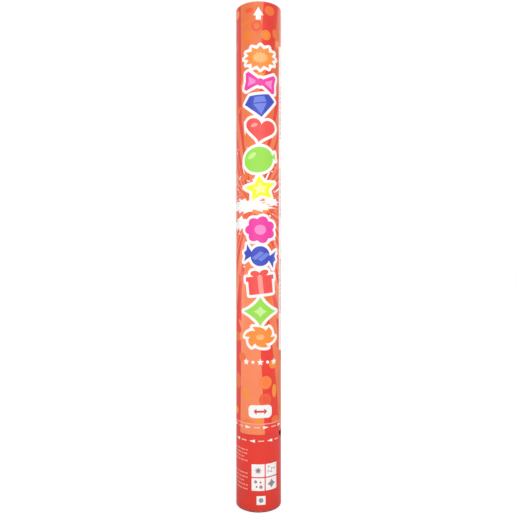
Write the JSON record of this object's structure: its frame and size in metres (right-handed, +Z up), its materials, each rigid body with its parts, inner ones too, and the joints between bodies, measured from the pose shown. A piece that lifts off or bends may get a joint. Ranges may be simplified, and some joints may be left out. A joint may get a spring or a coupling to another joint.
{
  "type": "confetti popper",
  "caption": "Hand-held tube popper: twisting the printed barrel on its handle lifts a stopper, and compressed air blows a wad, paper and foil confetti and the muzzle disc out of the top.",
  "frame": {"origin": "on the table, under the middle of the base cap", "axes": "+Z up along the tube towards the muzzle, -Y towards the front of the print"},
  "size_m": [0.053, 0.053, 0.58],
  "materials": {
    "cap_plastic": "matte",
    "tube_card": "matte",
    "handle_print": "gloss",
    "liner_card": "matte",
    "bottle_plastic": "satin",
    "head_plastic": "satin",
    "seal_rubber": "matte",
    "valve_brass": "satin",
    "spring_steel": "satin",
    "ball_steel": "polished",
    "stopper_plastic": "satin",
    "pin_steel": "satin",
    "barrel_print": "gloss",
    "sleeve_plastic": "satin",
    "cam_plastic": "satin",
    "nozzle_plastic": "satin",
    "foam": "matte",
    "disc_card": "matte",
    "tissue_paper": "matte",
    "foil_film": "gloss"
  },
  "bodies": {
    "handle": {"base_cap": "cap_plastic", "handle_tube": "tube_card", "handle_label": "handle_print", "handle_liner": "liner_card", "air_cylinder": "bottle_plastic", "cylinder_head": "head_plastic", "head_o_ring": "seal_rubber", "fill_valve_body": "valve_brass", "fill_valve_gasket": "seal_rubber", "fill_valve_nut": "valve_brass", "fill_valve_spring": "spring_steel", "fill_valve_retainer": "valve_brass"},
    "fill_ball": {"fill_valve_ball": "ball_steel"},
    "stopper": {"release_stopper": "stopper_plastic", "stopper_o_ring": "seal_rubber", "stopper_pin": "pin_steel"},
    "barrel": {"barrel_tube": "tube_card", "barrel_label": "barrel_print", "bearing_sleeve": "sleeve_plastic", "cam_ring": "cam_plastic", "nozzle_plate": "nozzle_plastic"},
    "wad": {"pusher_wad": "foam", "pusher_card": "disc_card"},
    "confetti": {"paper_confetti": "tissue_paper", "foil_confetti": "foil_film"},
    "lid": {"muzzle_plug": "foam", "muzzle_card": "disc_card"}
  },
  "joints": [
    {"name": "barrel_twist", "type": "hinge", "parent": "handle", "child": "barrel", "pos_m": [0, 0, 0.088], "axis": [0, 0, 1], "range_deg": [0, 90]},
    {"name": "stopper_lift", "type": "slide", "parent": "handle", "child": "stopper", "axis": [0, 0, 1], "range_m": [0, 0.012]},
    {"name": "fill_ball_lift", "type": "slide", "parent": "handle", "child": "fill_ball", "axis": [0, 0, 1], "range_m": [0, 0.0012], "stiffness_N_per_m": 300, "springref_m": -0.001, "deforming": ["fill_valve_spring"]},
    {"name": "confetti_launch", "type": "slide", "parent": "barrel", "child": "confetti", "axis": [0, 0, 1], "range_m": [0, 0.4]},
    {"name": "wad_launch", "type": "slide", "parent": "barrel", "child": "wad", "axis": [0, 0, 1], "range_m": [0, 0.4]},
    {"name": "lid_launch", "type": "slide", "parent": "barrel", "child": "lid", "axis": [0, 0, 1], "range_m": [0, 0.44]}
  ],
  "couplings": [
    {"joint": "stopper_lift", "follows": "barrel_twist", "m_per_rad": 0.0076394},
    {"joint": "wad_launch", "follows": "confetti_launch", "ratio": 1},
    {"joint": "lid_launch", "follows": "confetti_launch", "ratio": 1.1}
  ]
}
